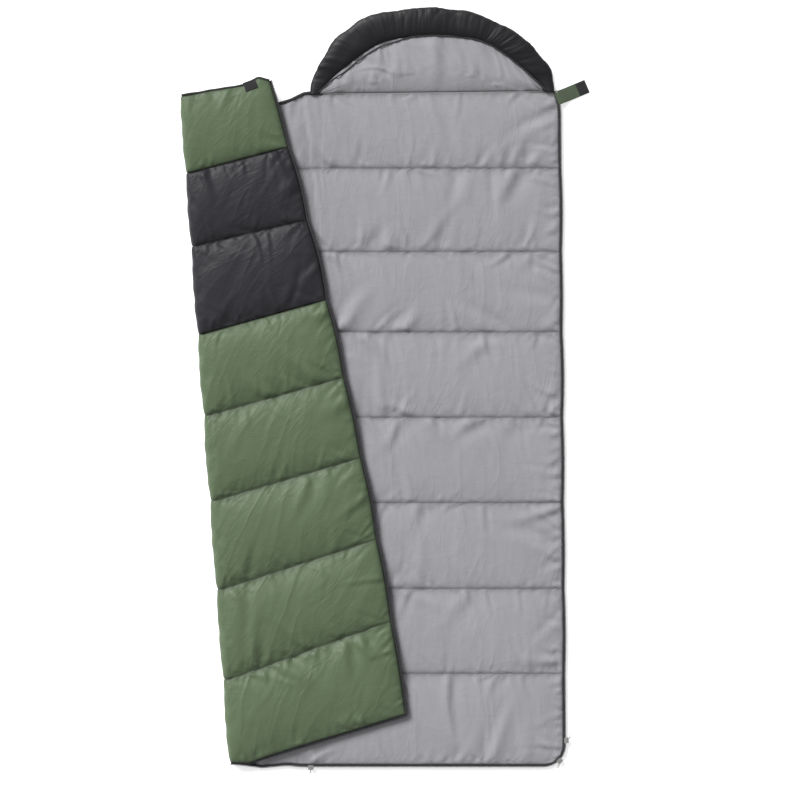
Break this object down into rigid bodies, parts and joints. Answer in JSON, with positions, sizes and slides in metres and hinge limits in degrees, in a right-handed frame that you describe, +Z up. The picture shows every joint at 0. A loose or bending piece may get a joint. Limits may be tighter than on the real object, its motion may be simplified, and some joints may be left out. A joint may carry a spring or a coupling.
{
  "type": "hooded rectangular sleeping bag",
  "caption": "Rectangular sleeping bag with a half-round hood, opened along its zip, with the quilted cover folded back over itself.",
  "frame": {"origin": "middle of the ground rectangle that the open bag covers, at ground level", "axes": "+Z up from the ground, +Y along the bag from the foot to the hood, +X from the folded cover to the zip side of the back panel"},
  "size_m": [1.1827, 2.2236, 0.0465],
  "materials": {
    "green_shell": "woven polyester shell, green, slight sheen",
    "black_shell": "woven polyester shell, black, slight sheen",
    "grey_lining": "brushed polyester lining, light grey",
    "batting": "hollow-fibre wadding, white",
    "thread": "polyester sewing thread",
    "zip_tape": "woven zip tape, black",
    "zip_coil": "moulded zip teeth, black",
    "binding": "folded woven binding, black",
    "metal": "die-cast zip hardware, nickel plated",
    "elastic": "round elastic, black",
    "green_webbing": "stitched strap of shell fabric, dark green",
    "hook_loop": "hook-and-loop patch, black"
  },
  "bodies": {
    "back_panel": {"back_shell_top": "green_shell", "back_shell_band": "black_shell", "back_shell_main": "green_shell", "back_batting": "batting", "back_lining": "grey_lining", "back_quilt_stitches": "thread", "back_zip_tape": "zip_tape", "back_zip_coil": "zip_coil", "back_zip_stops": "metal"},
    "cover_side": {"side_shell_top": "green_shell", "side_shell_main": "green_shell", "side_shell_band": "black_shell", "side_lining": "grey_lining", "side_batting": "batting", "side_quilt_stitches": "thread", "side_zip_tape": "zip_tape", "side_zip_coil": "zip_coil", "side_neck_binding": "binding"},
    "cover_flap": {"flap_shell_top": "green_shell", "flap_shell_main": "green_shell", "flap_shell_band": "black_shell", "flap_lining": "grey_lining", "flap_batting": "batting", "flap_quilt_stitches": "thread", "flap_zip_tape": "zip_tape", "flap_zip_coil": "zip_coil", "flap_neck_binding": "binding", "flap_loop_patch": "hook_loop"},
    "hood": {"hood_shell": "black_shell", "hood_batting": "batting", "hood_lining": "grey_lining", "hood_piping": "binding", "rim_cover": "black_shell", "rim_batting": "batting", "rim_elastic": "elastic"},
    "closure_tab": {"tab_strap": "green_webbing", "tab_hook_patch": "hook_loop"},
    "side_slider": {"side_slider_body": "metal", "side_slider_bridge": "metal"},
    "side_slider_pull": {"side_slider_pull": "metal"},
    "corner_slider": {"corner_slider_body": "metal", "corner_slider_bridge": "metal"},
    "corner_slider_pull": {"corner_slider_pull": "metal"},
    "foot_slider": {"foot_slider_body": "metal", "foot_slider_bridge": "metal"},
    "foot_slider_pull": {"foot_slider_pull": "metal"}
  },
  "joints": [
    {"name": "cover_swing", "type": "hinge", "parent": "back_panel", "child": "cover_side", "pos_m": [-0.2258, -1.081, 0.0225], "axis": [0.0246, 0.9997, 0], "range_deg": [0, 179.9]},
    {"name": "cover_unfold", "type": "hinge", "parent": "cover_side", "child": "cover_flap", "pos_m": [-0.4424, -1.082, 0.0225], "axis": [-0.0737, 0.9973, 0], "range_deg": [-179.9, 0]},
    {"name": "hood_lift", "type": "hinge", "parent": "back_panel", "child": "hood", "pos_m": [-0.178, 0.863, 0.0225], "axis": [0.9999, 0.0118, 0], "range_deg": [0, 90]},
    {"name": "tab_flip", "type": "hinge", "parent": "back_panel", "child": "closure_tab", "pos_m": [0.5063, 0.8517, 0.0265], "axis": [0.3891, -0.9212, 0], "range_deg": [0, 179.9]},
    {"name": "side_slider_run", "type": "slide", "parent": "back_panel", "child": "side_slider", "axis": [-0.0075, 1, 0], "range_m": [0, 1.81]},
    {"name": "corner_slider_run", "type": "hinge", "parent": "back_panel", "child": "corner_slider", "pos_m": [0.46284, -1.024, 0.012], "axis": [0, 0, -1], "range_deg": [0, 36]},
    {"name": "foot_slider_run", "type": "slide", "parent": "back_panel", "child": "foot_slider", "axis": [1, 0, 0], "range_m": [0, 0.64]},
    {"name": "side_slider_pull_flip", "type": "hinge", "parent": "side_slider", "child": "side_slider_pull", "pos_m": [0.52855, -1.01099, 0.0178], "axis": [0.6747, -0.7381, 0], "range_deg": [0, 110]},
    {"name": "corner_slider_pull_flip", "type": "hinge", "parent": "corner_slider", "child": "corner_slider_pull", "pos_m": [0.50937, -1.07053, 0.0178], "axis": [-0.9659, 0.2588, 0], "range_deg": [0, 110]},
    {"name": "foot_slider_pull_flip", "type": "hinge", "parent": "foot_slider", "child": "foot_slider_pull", "pos_m": [-0.212, -1.0898, 0.0178], "axis": [-0.9945, 0.1045, 0], "range_deg": [0, 110]}
  ],
  "couplings": [
    {"joint": "cover_unfold", "follows": "cover_swing", "ratio": -1}
  ]
}
